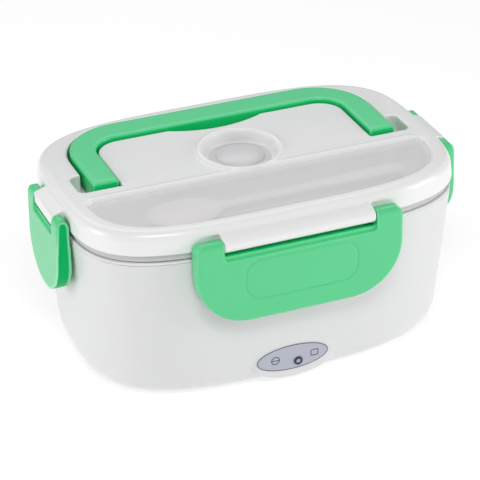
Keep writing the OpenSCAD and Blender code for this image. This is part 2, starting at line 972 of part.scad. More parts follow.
// Side view of a latch. The long ones have a waist where they pass the lid's lower
// edge, because the body curves away from their ends.
module ear_profile(half) {
    top = ear_top(half);
    waist = half > 40 ? latch_bead_reach(half) : ear_back;
    translate([-half - 1, 0, 0])
        rotate([90, 0, 90])
            linear_extrude(2 * half + 2)
                polygon(concat(
                    arc(ear_back - 2.5, top - 2.5, 2.5, 0, 90, 6),
                    arc(-latch_face + ear_round, top - ear_round, ear_round, 90, 180, 6),
                    [[-latch_face, -latch_drop - 1], [latch_back, -latch_drop - 1],
                     [latch_back, -waist_low], [waist, -waist_low + 1],
                     [waist, -waist_high], [ear_back, -waist_high + 1]]));
}

// The latch stays clear of the base that it hangs beside
module base_clearance() {
    body_stack([[40, -base_room], [lid_seat - 0.8, -base_room]]);
}

module fitted(turn, axis, half, tab_half) {
    color(mint)
    difference() {
        rotate([0, 0, turn])
            translate([0, -axis, latch_axis_z])
                latch(half, tab_half);
        base_clearance();
    }
}

module front_latch() { fitted(0, front_axis, long_latch_half, long_tab_half); }
module back_latch() { fitted(180, front_axis, long_latch_half, long_tab_half); }
module left_latch() { fitted(270, side_axis, short_latch_half, short_tab_half); }
module right_latch() { fitted(90, side_axis, short_latch_half, short_tab_half); }

// ---------- spoon ----------

module spoon() {
    color(white) {
        translate([bowl_x, bowl_y, spoon_top])
            difference() {
                scale([bowl_half_x, bowl_half_y, bowl_depth])
                    sphere(r = 1, $fn = 28);
                translate([0, 0, 0.4])
                    scale([bowl_half_x - spoon_thick, bowl_half_y - spoon_thick, bowl_depth - 1])
                        sphere(r = 1, $fn = 28);
                translate([-30, -30, 0])
                    cube([60, 60, 10]);
            }
        hull() {
            translate([bowl_x + bowl_half_x - 1.4, bowl_y, spoon_top - spoon_thick])
                cylinder(r = 3.4, h = spoon_thick, $fn = 24);
            translate([bowl_x + stem_reach, bowl_y, spoon_top - 0.6])
                cylinder(r = 5.5, h = spoon_thick + 0.2, $fn = 32);
        }
    }
}

module spoon_cover() {
    color(clear)
    plate(trough_outline(1.1), cover_seat + 0.01, cover_thick);
}

base_housing();
catch_rails();
base_liner();
bottom_cover();
foot_front_left();
foot_front_right();
foot_rear_left();
foot_rear_right();
cover_screws();
heater_plate();
ptc_heater();
heater_clamp();
clamp_screws();
thermostat();
thermal_fuse();
indicator_board();
indicator_led();
indicator_lens();
control_label();
power_inlet();
inlet_pins();
supply_leads();
heater_leads();
food_container();
side_dish_cup();
lid_shell();
lid_seal();
steam_vent_plug();
carry_handle();
front_latch();
back_latch();
left_latch();
right_latch();
spoon();
spoon_cover();
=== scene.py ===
"""The looks of the electric lunch box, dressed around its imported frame. Metres, Z up."""
import json
import math

import bmesh
import bpy
from mathutils import Matrix, Vector


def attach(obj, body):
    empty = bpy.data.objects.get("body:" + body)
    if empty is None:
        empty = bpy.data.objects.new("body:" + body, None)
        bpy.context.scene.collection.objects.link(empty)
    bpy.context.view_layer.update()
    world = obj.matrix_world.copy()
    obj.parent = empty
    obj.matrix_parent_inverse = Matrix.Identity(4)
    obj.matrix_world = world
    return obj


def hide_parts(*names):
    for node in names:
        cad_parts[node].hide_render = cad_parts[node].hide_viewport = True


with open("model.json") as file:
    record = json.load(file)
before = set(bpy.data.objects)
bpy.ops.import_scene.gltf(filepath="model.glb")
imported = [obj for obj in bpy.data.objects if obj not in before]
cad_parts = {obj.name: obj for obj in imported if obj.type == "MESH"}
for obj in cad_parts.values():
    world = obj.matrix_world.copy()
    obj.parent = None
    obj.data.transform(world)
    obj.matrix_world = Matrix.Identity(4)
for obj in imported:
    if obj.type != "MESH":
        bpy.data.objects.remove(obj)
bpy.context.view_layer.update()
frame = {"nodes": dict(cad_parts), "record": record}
NODES = frame["nodes"]
MM = 0.001

# ---------- the object's own sizes, in millimetres ----------

# The body's outline is a squared oval: 2 is an ellipse, more is squarer
LID_LENGTH = 226
LID_DEPTH = 153
SQUARENESS = 3.8
BASE_SQUARENESS = 3.1
RING = 256

# Heights from the table up
FOOT_HEIGHT = 1.6
LID_SEAT = 95.8
FLANGE_SEAT = LID_SEAT - 6.6
CONTAINER_SEAT = LID_SEAT - 4.2
LID_TOP = 109.8

# The seam: tops of the housing and liner, foot of the container's lip and of the lid's side
HOUSING_TOP = 90.7
LINER_TOP = 91.9
LIP_BOTTOM = 92.5
LID_EDGE = 96.6
RIM_INSET = 0.7
RIM_INNER = 3.9
RIM_SOFT = 0.4
LIP_INSET = 2.1
LIP_INNER = 3.3
LIP_SOFT = 0.3

# Housing, liner and container
SIDE_DRAFT = 0.06
INNER_DRAFT = 0.12
BOTTOM_ROUND = 9
ROUND_TOP = 17.6
HOUSING_WALL = 2.2
LINER_FLOOR = 22
LINER_WALL = 1.6
LINER_INSET = 5.2
PLATE_RISE = 0.6
CONTAINER_FLOOR = LINER_FLOOR + PLATE_RISE
CONTAINER_WALL = 1.6
CONTAINER_INSET = 6.2
INNER_ROUND_TOP = 36
INNER_ROUND_WIDTH = 12

# Rooms in the housing and liner: half length and half depth, and heights
COVER_ROOM = (91.3, 53.3)
COVER_ROOM_TOP = 3.6
COVER_STEP = (88, 50)
COVER_STEP_TOP = 9.6
PLATE_ROOM = (56, 36)
PLATE_SQUARENESS = 2.6
INLET_ROOM_LOW = (-12.2, 55, 8.5)
INLET_ROOM_HIGH = (12.2, 85, 22.9)

# Lid, its shoulder and its wall
LID_ROUND = 4.5
LID_ROUND_START = 103.4
LID_LEAN = 0.5
LID_WALL = 1.6
SKIRT_BOTTOM = LID_SEAT - 3
SKIRT_INSET = 9
SKIRT_INNER = 11

# Seal in the lid's groove
SEAL_INSET = 3.4
SEAL_INNER = 7.4
SEAL_HEIGHT = 2.4
SEAL_SOFT = 0.3

# Recess for the handle, its end pockets and the finger scoop
RECESS_FLOOR = 99
RECESS_FRONT = -8.6
HANDLE_GAP = 1.2
POCKET_EDGE = 100.4
POCKET_END = 12
POCKET_BEND = 4
SCOOP_HALF = 28
SCOOP_FRONT = 38.8
SCOOP_RADIUS = 62.7

# Spoon trough, the ridge behind it and the cover's seat
TROUGH_X = 102
TROUGH_Y = 67
TROUGH_SQUARE = 4
TROUGH_BACK = -19.2
TROUGH_CORNER = 5
TROUGH_FLOOR = 98.6
COVER_SEAT = 107.2
RIDGE_BEHIND = 2
RIDGE_HALF = 1.6
RIDGE_RISE = 1.2
RIDGE_LENGTH = 97
RIDGE_FOOT = 107.5

# Steam vent: its well, tilted lip and plug
VENT_Y = 5.5
VENT_RADIUS = 21.4
VENT_WALL = 1.8
VENT_FLOOR = 104.4
VENT_LIP = 2.4
VENT_TILT = 2.6
PLUG_RADIUS = 18
PLUG_STEM = 3.95
PLUG_BOTTOM = 100.4
DOME_RADIUS = 14
DOME_RISE = 2.8
DOME_FOOT = 1.4

# Handle: a U with a grip across the back and an arm down each side
HANDLE_HALF = 92
ARM_INNER = 76.5
OUTER_BEND = 34.5
INNER_BEND = 16
GRIP_BACK = 65.5
GRIP_FRONT = 47.0
GRIP_TOP = 112.2
GRIP_BOTTOM = 102.2
PIVOT_Z = 104.8
PIVOT_RADIUS = 5.6
HANDLE_UPPER_ROUND = 1.6
HANDLE_LEAN = 0.9
HANDLE_END_ROUND = 2.2

# Hinge axes of the latches, and the lid's tabs that carry them
AXIS_Z = 99.9
AXIS_FRONT = 79.2
AXIS_SIDE = 117
LONG_TAB = 44.4
SHORT_TAB = 16.2
TAB_RADIUS = AXIS_Z - LID_SEAT
SHORT_TAB_REACH = 2.5
TAB_SLOPE = 71
TAB_BACK = 9
TAB_ROOT = 6.7
TAB_RISE = 6.6
TAB_GAP = 0.3

# Latches, measured from the hinge axis
LONG_HALF = 60.5
SHORT_HALF = 27
LATCH_DROP = 47.3
LATCH_BACK = 6.5
LATCH_THICK = 2.6
LATCH_RIM = 2.2
LOWER_CORNER = 31
LONG_FACE = 4.4
SHORT_FACE = 3.4
SHORT_SPLAY = 0.021
FACE_ROUND = 1.7
HOLLOW_TOP = -10.4
LONG_EAR_TOP = 3.3
SHORT_EAR_TOP = 4.3
EAR_CORNER = 4.6
EAR_BACK = 4.1
EAR_BACK_ROUND = 2.5
LONG_EAR_ROUND = 3
SHORT_EAR_ROUND = 5.5
WAIST_TOP = -12
BELOW_LATCH = -49

# The slot that the lid's tab turns in, and the step in its floor
SLOT_CORNER = 1.8
SLOT_FLOOR = -5.8
STEP_FLOOR = -8.0
STEP_DEEP = 1.5

# The bead that snaps under the housing's catch rib
LONG_BEAD = LONG_HALF - 22
SHORT_BEAD = SHORT_HALF - 10
BEAD_TOP = 82.9 - AXIS_Z
BEAD_HEIGHT = 3
CATCH_REACH = 2.1
CATCH_GAP = 0.1

# Room that a closed latch leaves for the base and for the container's lip
BASE_ROOM = 0.4
STACK_INSET = 1.8

# Thumb panel on the long latches, edge channel on the left one, and the darker sheet of painted
# shade on that channel's floor
PANEL_HALF = 33
PANEL_LOW = -34.5
PANEL_HIGH = -10.6
PANEL_BEND = 9
PANEL_GROOVE = 0.4
PANEL_LINE_HALF = 0.7
CHANNEL_FRONT = 0.6
CHANNEL_BACK = 3.6
CHANNEL_DEEP = 1.3
CHANNEL_BEND = 1.9
CHANNEL_BELOW_EAR = 1.8
SHADE_SHEET_OVER = 0.55
SHADE_SHEET_UNDER = 0.6
SHADE_SHEET_CLEAR = 0.6

# Boss on the front with the control label and the indicator lens
BOSS_Z = 14.2
BOSS_FACE = -71.6
BOSS_LEAN = 4
BOSS_HALF_X = 24.5
BOSS_HALF_Z = 12
BOSS_ROOM_LOW = (-30, -76, FOOT_HEIGHT)
BOSS_ROOM_HIGH = (30, -62, 27.8)
LABEL_X = -1.4
LABEL_HALF_X = 21.5
LABEL_HALF_Z = 8.1
LABEL_RISE = 1.8
FILM_THICK = 0.45
INK_BOTTOM = 0.4
INK_TOP = 0.5
LENS_X = 2
LENS_DROP = 1.4
LENS_HOLE = 2.05
BEZEL_RADIUS = 2.5
BEZEL_WIDTH = 1.2
BEZEL_TOP = 1.15

# The label's border and its two plain marks, a ring with a bar and a box
BORDER_WIDTH = 0.4
RING_MARK_X = -11.8
RING_MARK_RISE = 1.6
RING_MARK_RADIUS = 2.6
RING_MARK_WIDTH = 0.5
BAR_LOW = (-13.9, 1.35, INK_BOTTOM)
BAR_HIGH = (-9.7, 1.8, INK_TOP)
BOX_MARK_X = 11.9
BOX_MARK_RISE = 1.7
BOX_MARK_HALF_X = 2.4
BOX_MARK_HALF_Z = 2.1
BOX_MARK_WIDTH = 0.46
BOX_MARK_SQUARENESS = 5

# Spoon: middle of its bowl, how the bowl is cut, and the stem's two ends
BOWL_X = -52
BOWL_Y = -43
BOWL_RIM = 105
BOWL_RADII = (22, 15, 6)
BOWL_HOLLOW_RADII = (20.4, 13.4, 5)
BOWL_HOLLOW_RISE = 0.4
STEM_START = BOWL_X + 20.6
STEM_END = BOWL_X + 126
STEM_START_HALF = 3.4
STEM_END_HALF = 5.5
STEM_BOTTOM = 103.4
STEM_TOP = 105.0
STEM_BOTTOM_RISE = 1
STEM_TOP_RISE = 1.2

# A turned profile stays this far from its axis, where its points would meet
NEAR_AXIS = 0.01


# ---------- outlines ----------

def signed_power(value, power):
    return math.copysign(abs(value) ** power, value)


def oval(half_x, half_y, square=SQUARENESS, count=RING):
    angles = [2 * math.pi * i / count for i in range(count)]
    return [(half_x * signed_power(math.cos(t), 2 / square),
             half_y * signed_power(math.sin(t), 2 / square)) for t in angles]


def arc(cx, cy, radius, start, end, count=16):
    steps = [math.radians(start + (end - start) * i / count) for i in range(count + 1)]
    return [(cx + radius * math.cos(t), cy + radius * math.sin(t)) for t in steps]


def rounded_rectangle(left, right, low, high, corner):
    return (arc(right - corner, high - corner, corner, 0, 90, 8)
            + arc(left + corner, high - corner, corner, 90, 180, 8)
            + arc(left + corner, low + corner, corner, 180, 270, 8)
            + arc(right - corner, low + corner, corner, 270, 360, 8))


def squareness_at(z):
    """The corners grow rounder from the housing's rim down to the table."""
    down = max(0, FLANGE_SEAT - z) / (FLANGE_SEAT - FOOT_HEIGHT)
    return SQUARENESS - (SQUARENESS - BASE_SQUARENESS) * down


def body_outline(inset, z=FLANGE_SEAT):
    return oval(LID_LENGTH / 2 - inset, LID_DEPTH / 2 - inset, squareness_at(z))


def trough_outline(inset, count=96):
    """Straight along the back, a squared curve round the front."""
    a, b, back = TROUGH_X - inset, TROUGH_Y - inset, TROUGH_BACK - inset
    start = math.asin((-(back - TROUGH_CORNER) / b) ** (TROUGH_SQUARE / 2))
    side = a * math.cos(start) ** (2 / TROUGH_SQUARE)
    sweep = [math.pi + start + (math.pi - 2 * start) * i / count for i in range(count + 1)]
    front = [(a * signed_power(math.cos(t), 2 / TROUGH_SQUARE),
              b * signed_power(math.sin(t), 2 / TROUGH_SQUARE)) for t in sweep]
    corner = TROUGH_CORNER
    return (arc(side - corner, back - corner, corner, 8, 90, 8)
            + arc(-side + corner, back - corner, corner, 90, 172, 8) + front)


def handle_outline(grow, front, lean=0):
    """A U in plan. lean draws in the outer side alone."""
    outer, inner = HANDLE_HALF + grow - lean, ARM_INNER - grow
    bend_x, bend_y = HANDLE_HALF - OUTER_BEND, GRIP_BACK - OUTER_BEND
    inner_x, inner_y = ARM_INNER - INNER_BEND, GRIP_FRONT - INNER_BEND
    bend = OUTER_BEND + grow - lean
    return ([(outer, front)]
            + arc(bend_x, bend_y, bend, 0, 90)
            + arc(-bend_x, bend_y, bend, 90, 180)
            + [(-outer, front), (-inner, front)]
            + arc(-inner_x, inner_y, INNER_BEND - grow, 180, 90)
            + arc(inner_x, inner_y, INNER_BEND - grow, 90, 0)
            + [(inner, front)])


# ---------- making solids ----------

def solid(name, points, faces):
    """A mesh object from points in millimetres."""
    mesh = bpy.data.meshes.new(name)
    mesh.from_pydata([Vector(p) * MM for p in points], [], faces)
    form = bmesh.new()
    form.from_mesh(mesh)
    bmesh.ops.recalc_face_normals(form, faces=form.faces)
    form.to_mesh(mesh)
    form.free()
    piece = bpy.data.objects.new(name, mesh)
    bpy.context.scene.collection.objects.link(piece)
    return piece


def stacked(name, rings):
    """A closed solid through equal rings of 3-D points, first to last."""
    n = len(rings[0])
    points = [p for ring in rings for p in ring]
    faces = [tuple(range(n)), tuple(range(len(points) - n, len(points)))]
    for k in range(len(rings) - 1):
        for i in range(n):
            j = (i + 1) % n
            faces.append((k * n + i, k * n + j, (k + 1) * n + j, (k + 1) * n + i))
    return solid(name, points, faces)


def layered(name, outline, levels):
    """levels are (height, inset) pairs of one outline."""
    return stacked(name, [[(x, y, z) for x, y in outline(inset)] for z, inset in levels])


def body_layers(name, levels):
    """(height, inset) pairs of the body's outline, whose corners change with height."""
    return stacked(name, [[(x, y, z) for x, y in body_outline(inset, z)]
                          for z, inset in levels])


def prism(name, outline, low, high):
    """An (x, y) outline given height."""
    return stacked(name, [[(x, y, z) for x, y in outline] for z in (low, high)])


def bar_along_x(name, profile, low, high):
    """A profile of (y, z) points carried along X."""
    return stacked(name, [[(x, y, z) for y, z in profile] for x in (low, high)])


def upright(name, outline, back, front):
    """An (x, z) outline given thickness along Y."""
    return stacked(name, [[(x, y, z) for x, z in outline] for y in (back, front)])


def block(name, low, high):
    (x0, y0, z0), (x1, y1, z1) = low, high
    return prism(name, [(x0, y0), (x1, y0), (x1, y1), (x0, y1)], z0, z1)


def turned(name, profile, centre, count=96, tilt=0.0):
    """A closed (radius, z) loop turned about an upright line, tilted about X."""
    spin = [2 * math.pi * i / count for i in range(count)]
    lean = Matrix.Rotation(math.radians(tilt), 3, "X")
    n = len(profile)
    points = [lean @ Vector((r * math.cos(t), r * math.sin(t), z)) + Vector(centre)
              for t in spin for r, z in profile]
    faces = [(k * n + i, k * n + (i + 1) % n, ((k + 1) % count) * n + (i + 1) % n,
              ((k + 1) % count) * n + i) for k in range(count) for i in range(n)]
    return solid(name, points, faces)


def round_bar(name, radius, low, high, place, count=96):
    """An upright round bar, for a wall or a hole."""
    profile = [(NEAR_AXIS, low), (radius, low), (radius, high), (NEAR_AXIS, high)]
    return turned(name, profile, (*place, 0), count)


def ellipsoid(name, centre, radii, across=64):
    """Rings from pole to pole, with a small flat at each pole."""
    rings = []
    for k in range(1, across // 2):
        t = math.pi * k / (across // 2)
        rings.append([(centre[0] + radii[0] * math.sin(t) * math.cos(a),
                       centre[1] + radii[1] * math.sin(t) * math.sin(a),
                       centre[2] - radii[2] * math.cos(t))
                      for a in (2 * math.pi * i / across for i in range(across))])
    return stacked(name, rings)


def settle(piece):
    """Turns the piece's modifiers into its mesh."""
    bpy.context.view_layer.update()
    shape = piece.evaluated_get(bpy.context.evaluated_depsgraph_get())
    mesh = bpy.data.meshes.new_from_object(shape)
    piece.modifiers.clear()
    piece.data = mesh
    return piece


def combine(piece, operation, *tools):
    for tool in tools:
        step = piece.modifiers.new("combine", "BOOLEAN")
        step.operation = operation
        step.solver = "MANIFOLD"
        step.object = tool
    settle(piece)
    for tool in tools:
        bpy.data.objects.remove(tool)
    return piece


def add(piece, *tools):
    return combine(piece, "UNION", *tools)


def cut(piece, *tools):
    return combine(piece, "DIFFERENCE", *tools)


def keep_common(piece, tool):
    return combine(piece, "INTERSECT", tool)


def shifted(piece, x, y, z=0.0):
    """Moves the mesh itself, in millimetres."""
    piece.data.transform(Matrix.Translation(Vector((x, y, z)) * MM))
    return piece


def to_side(piece, turn, axis):
    """Moves what is drawn on a hinge axis at the origin to the front, then round to its side."""
    shifted(piece, 0, -axis, AXIS_Z)
    piece.data.transform(Matrix.Rotation(math.radians(turn), 4, "Z"))
    return piece


def soften(piece, cell, rounds):
    """Rounds every edge a little, as a mould's edges are. cell is in millimetres."""
    grid = piece.modifiers.new("grid", "REMESH")
    grid.mode = "VOXEL"
    grid.voxel_size = cell * MM
    relax = piece.modifiers.new("relax", "SMOOTH")
    relax.factor = 0.5
    relax.iterations = rounds
    settle(piece)
    piece.data.shade_smooth()
    return piece


def show(piece, body, finish, *nodes):
    """Puts the finished piece on its body, in its finish, for the nodes that it replaces."""
    piece.data.materials.clear()
    piece.data.materials.append(FINISHES[finish])
    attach(piece, body)
    if nodes:
        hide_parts(*nodes)


# ---------- lid ----------

# (height, inset) pairs, from the bottom up
LID_SIDE = [(LID_SEAT, SEAL_INSET), (LID_EDGE, SEAL_INSET), (LID_EDGE, 0.4),
            (LID_EDGE + 0.6, 0), (LID_SEAT + 4, 0.1), (LID_ROUND_START, LID_LEAN)]
LID_HOLLOW = [(LID_SEAT - 5, SKIRT_INNER), (100, SKIRT_INNER), (100, 2.4), (103.2, 2.6),
              (105.8, 4), (107, 6.4), (107.8, 10)]
TROUGH_WALLS = [(TROUGH_FLOOR - LID_WALL, 12.4), (TROUGH_FLOOR - 1.1, 7.4), (99.4, 3.9),
                (103.2, 2), (105, -1), (LID_TOP - 1, -1)]
TROUGH_INSIDE = [(TROUGH_FLOOR, 14), (TROUGH_FLOOR + 0.5, 9), (101, 5.5), (104, 3.6),
                 (COVER_SEAT, 3), (COVER_SEAT + 0.02, 0.8), (LID_TOP + 1, 0)]

# Flat behind each latch ear: beyond the ear's end, and (y, z) from the hinge axis
RELIEF_OVER = 0.6
RELIEF_LOW = (-14.8, -5.5)
RELIEF_HIGH = (4.8, 4.9)


def lid_outer(name="lid_form"):
    """The lid's full outer form, a leaning side under a rounded shoulder."""
    rise = LID_TOP - LID_ROUND_START
    shoulder = [math.radians(6 * i) for i in range(1, 16)]
    crown = [(LID_ROUND_START + rise * math.sin(t), LID_LEAN + LID_ROUND * (1 - math.cos(t)))
             for t in shoulder]
    return body_layers(name, LID_SIDE + crown)


def hinge_tab(half, turn, axis):
    """A round-nosed tab on the lid that one latch hangs on."""
    reach = TAB_RADIUS if half == LONG_TAB else SHORT_TAB_REACH
    round_nose = arc(0, 0, TAB_RADIUS, -90, -180 - TAB_SLOPE, 24)
    profile = ([(TAB_BACK, -TAB_RADIUS)] + [(max(y, -reach), z) for y, z in round_nose]
               + [(TAB_ROOT, TAB_RISE), (TAB_BACK, TAB_RISE)])
    return to_side(bar_along_x("tab", profile, -half, half), turn, axis)


def four_sides():
    """Turn, axis distance, latch half width and tab half width of each side."""
    return [(0, AXIS_FRONT, LONG_HALF, LONG_TAB), (180, AXIS_FRONT, LONG_HALF, LONG_TAB),
            (90, AXIS_SIDE, SHORT_HALF, SHORT_TAB), (270, AXIS_SIDE, SHORT_HALF, SHORT_TAB)]


def recess_parts(grow, low, high):
    """The handle's channel, its two end pockets and the finger scoop."""
    front = RECESS_FRONT - grow
    made = [prism("channel", handle_outline(HANDLE_GAP + grow, front), low, high)]
    for side in (-1, 1):
        left, right = sorted((side * (HANDLE_HALF - grow - POCKET_BEND),
                              side * (POCKET_EDGE + grow)))
        pocket = rounded_rectangle(left, right, front, POCKET_END + grow, POCKET_BEND)
        made.append(prism("pocket", pocket, low, high))
    reach = SCOOP_RADIUS + grow
    edge = SCOOP_HALF + grow
    turn = math.degrees(math.asin(edge / reach))
    crescent = arc(0, SCOOP_FRONT + SCOOP_RADIUS, reach, 270 - turn, 270 + turn, 48)
    made.append(prism("scoop", crescent + [(edge, GRIP_FRONT), (-edge, GRIP_FRONT)], low, high))
    return made


def trough_ridge():
    """The low round ridge between the trough and the handle."""
    bead = [(TROUGH_BACK + RIDGE_BEHIND + RIDGE_HALF * c, LID_TOP - 0.6 + RIDGE_RISE * r)
            for c, r in arc(0, 0, 1, 0, 180, 16)]
    foot = [(bead[-1][0], RIDGE_FOOT), (bead[0][0], RIDGE_FOOT)]
    return bar_along_x("trough_ridge", bead + foot, -RIDGE_LENGTH, RIDGE_LENGTH)


def lid_skirt():
    """The wall under the lid that stands inside the container."""
    skirt = body_layers("skirt", [(SKIRT_BOTTOM, SKIRT_INSET + 0.4), (LID_SEAT, SKIRT_INSET),
                                  (99.2, SKIRT_INSET)])
    return cut(skirt, body_layers("skirt_hollow", [(91, SKIRT_INNER), (101, SKIRT_INNER)]))


def ear_reliefs():
    """Flats that leave the latch ears room to turn."""
    made = []
    for turn, axis, latch_half, tab in four_sides():
        for side in (-1, 1):
            left, right = sorted((side * tab, side * (latch_half + RELIEF_OVER)))
            relief = block("relief", (left, *RELIEF_LOW), (right, *RELIEF_HIGH))
            made.append(to_side(relief, turn, axis))
    return made


def make_lid():
    """A thin lid: hollowed, given its inner walls, and then cut for what it holds."""
    lid = lid_outer("lid_moulding")
    add(lid, *[hinge_tab(tab, turn, axis) for turn, axis, _, tab in four_sides()])
    cut(lid, body_layers("hollow", LID_HOLLOW))
    for wall in recess_parts(LID_WALL, RECESS_FLOOR - LID_WALL, LID_TOP + 5):
        add(lid, keep_common(wall, lid_outer()))
    add(lid, keep_common(layered("trough_walls", trough_outline, TROUGH_WALLS), lid_outer()))
    add(lid, trough_ridge())
    add(lid, round_bar("vent_wall", VENT_RADIUS + VENT_WALL, VENT_FLOOR - LID_WALL,
                       LID_TOP - 0.4, (0, VENT_Y)))
    add(lid, lid_skirt())
    lip = arc(VENT_RADIUS + VENT_LIP - 0.3, 0, VENT_LIP, 0, 348, 29)
    add(lid, turned("vent_lip", lip, (0, VENT_Y, LID_TOP - 0.5), tilt=VENT_TILT))
    cut(lid, *recess_parts(0, RECESS_FLOOR, LID_TOP + 10))
    cut(lid, layered("trough", trough_outline, TROUGH_INSIDE))
    cut(lid, round_bar("vent_well", VENT_RADIUS, VENT_FLOOR, LID_TOP + 15, (0, VENT_Y)))
    for relief in ear_reliefs():
        cut(lid, relief)
    return soften(lid, cell=0.5, rounds=10)


def make_seal():
    """The soft ring in the lid's groove that presses on the container's rim."""
    top = LID_SEAT + SEAL_HEIGHT
    seal = body_layers("seal_ring", [(LID_SEAT, SEAL_INSET + SEAL_SOFT),
                                     (LID_SEAT + SEAL_SOFT, SEAL_INSET),
                                     (top - SEAL_SOFT, SEAL_INSET),
                                     (top, SEAL_INSET + SEAL_SOFT)])
    return cut(seal, body_layers("seal_hole", [(LID_SEAT - 1, SEAL_INNER), (top + 1, SEAL_INNER)]))


# ---------- latches ----------

def ear_top(half):
    return LONG_EAR_TOP if half == LONG_HALF else SHORT_EAR_TOP


def latch_outline(half, inset):
    """Seen from outside: ears rounded at their outer corners, large lower corners."""
    lower = min(half - 1, LOWER_CORNER)
    upper = EAR_CORNER
    top = ear_top(half) - inset
    return (arc(half - upper, top + inset - upper, upper - inset, 0, 90, 10)
            + arc(-half + upper, top + inset - upper, upper - inset, 90, 180, 10)
            + arc(-half + lower, -LATCH_DROP + lower, lower - inset, 180, 270, 24)
            + arc(half - lower, -LATCH_DROP + lower, lower - inset, 270, 360, 24))


def latch_slab(name, half, levels):
    """levels are (distance outwards, inset) pairs."""
    return stacked(name, [[(x, -out, z) for x, z in latch_outline(half, inset)]
                          for out, inset in levels])


def face_edge(face, radius):
    """Rounds the rim of a latch's face: (distance outwards, inset) pairs."""
    return [(face - radius + radius * math.sin(math.radians(a)),
             radius * (1 - math.cos(math.radians(a)))) for a in range(0, 91, 10)]


def latch_side(half, face):
    """A latch seen from its end: (y, z) points of the ear, the face and the waist."""
    top = ear_top(half)
    if half == LONG_HALF:
        ear = (arc(EAR_BACK - EAR_BACK_ROUND, top - EAR_BACK_ROUND, EAR_BACK_ROUND, 0, 90, 8)
               + arc(LONG_EAR_ROUND - face, top - LONG_EAR_ROUND, LONG_EAR_ROUND, 90, 180, 12))
    else:
        middle, reach = (EAR_BACK - face) / 2, (EAR_BACK + face) / 2
        ear = [(middle + reach * c, top - SHORT_EAR_ROUND + SHORT_EAR_ROUND * r)
               for c, r in arc(0, 0, 1, 0, 180, 24)]
    return (ear + [(-face, BELOW_LATCH), (LATCH_BACK, BELOW_LATCH), (LATCH_BACK, WAIST_TOP - 1),
                   (EAR_BACK, WAIST_TOP), (EAR_BACK, -2)])


def edge_band(name, half, face, outer, inner):
    """A band that follows a short latch's edge, between two insets."""
    front = CHANNEL_FRONT - face
    band = latch_slab(name, half, [(-CHANNEL_BACK, outer), (-front, outer)])
    cut(band, latch_slab("band_inside", half, [(-CHANNEL_BACK - 1, inner), (1 - front, inner)]))
    bend = CHANNEL_BEND
    round_top = ear_top(half) - CHANNEL_BELOW_EAR - bend
    window = (arc(0.45, round_top, bend, 0, 180, 16)
              + [(front, -20), (front, -60), (CHANNEL_BACK, -60), (CHANNEL_BACK - 0.6, -18)])
    return keep_common(band, bar_along_x("band_room", window, -half - 2, half + 2))


def tab_slot(half, floor, ceiling=30, back=-20, front=20):
    """Room in a latch for the lid's tab, with rounded corners."""
    outline = rounded_rectangle(-half, half, floor, ceiling, SLOT_CORNER)
    return upright("slot", outline, back, front)


def make_latch(name, turn, axis, half, tab):
    """A hollow latch with its tab slot, its bead and what is let into its face."""
    is_long = half == LONG_HALF
    face = LONG_FACE if is_long else SHORT_FACE
    bead = LONG_BEAD if is_long else SHORT_BEAD
    body_half = (LID_DEPTH if is_long else LID_LENGTH) / 2
    reach = (axis - body_half) + RIM_INSET - CATCH_REACH - CATCH_GAP
    bead_bottom = BEAD_TOP - BEAD_HEIGHT
    ear_in = tab + TAB_GAP

    latch = latch_slab(name, half, [(-LATCH_BACK, 0)] + face_edge(face, FACE_ROUND))
    keep_common(latch, bar_along_x("side_profile", latch_side(half, face), -half - 1, half + 1))
    hollow = latch_slab("hollow", half, [(-LATCH_BACK - 1, LATCH_RIM),
                                         (face - LATCH_THICK, LATCH_RIM)])
    keep_common(hollow, block("below_slot", (-half, -50, -LATCH_DROP - 1),
                              (half, 50, HOLLOW_TOP)))
    slot = tab_slot(ear_in, SLOT_FLOOR)
    step = tab_slot(ear_in, STEP_FLOOR, 0, -face - 1, -face + STEP_DEEP)
    shallow = block("shallow", (-bead - 1, reach, -LATCH_DROP - 1),
                    (bead + 1, reach + 20, bead_bottom))
    cut(latch, hollow, slot, step, shallow)
    add(latch, block("bead", (-bead, CATCH_REACH - face, bead_bottom), (bead, reach, BEAD_TOP)))
    if is_long:
        cut(latch, face_panel(face))
    elif name.startswith("left"):
        cut(latch, edge_band("channel", half, face, -1, CHANNEL_DEEP))
    place_latch(latch, turn, axis)
    return soften(latch, cell=0.37, rounds=6)


def place_latch(piece, turn, axis):
    """Hangs a latch's form on its side of the lid, clear of the base. Short ones splay."""
    if axis == AXIS_SIDE:
        splay = Matrix.Identity(4)
        splay[1][2] = SHORT_SPLAY
        piece.data.transform(splay)
    to_side(piece, turn, axis)
    over_rim = CONTAINER_SEAT + BASE_ROOM
    beside_lip = STACK_INSET - BASE_ROOM
    return cut(piece, body_layers("base_room", [(40, -BASE_ROOM), (over_rim, -BASE_ROOM),
                                                (over_rim + 0.1, beside_lip),
                                                (LID_SEAT, beside_lip)]))


def make_painted_shade_sheet(name, turn, axis, half, tab):
    """A darker green sheet on the floor of a short latch's edge channel: painted shade."""
    shade_sheet = edge_band(name, half, SHORT_FACE, CHANNEL_DEEP - SHADE_SHEET_OVER,
                       CHANNEL_DEEP + SHADE_SHEET_UNDER)
    cut(shade_sheet, tab_slot(tab + TAB_GAP + SHADE_SHEET_CLEAR, SLOT_FLOOR - SHADE_SHEET_CLEAR))
    return place_latch(shade_sheet, turn, axis)


def face_panel(face):
    """The shallow groove that frames the thumb panel on a long latch's face."""
    def outline(grow):
        return rounded_rectangle(-PANEL_HALF - grow, PANEL_HALF + grow, PANEL_LOW - grow,
                                 PANEL_HIGH + grow, PANEL_BEND + grow)
    front, back = -face - 1, -face + PANEL_GROOVE
    return cut(upright("panel_groove", outline(PANEL_LINE_HALF), back, front),
               upright("panel_face", outline(-PANEL_LINE_HALF), back + 1, front - 1))


# ---------- handle ----------

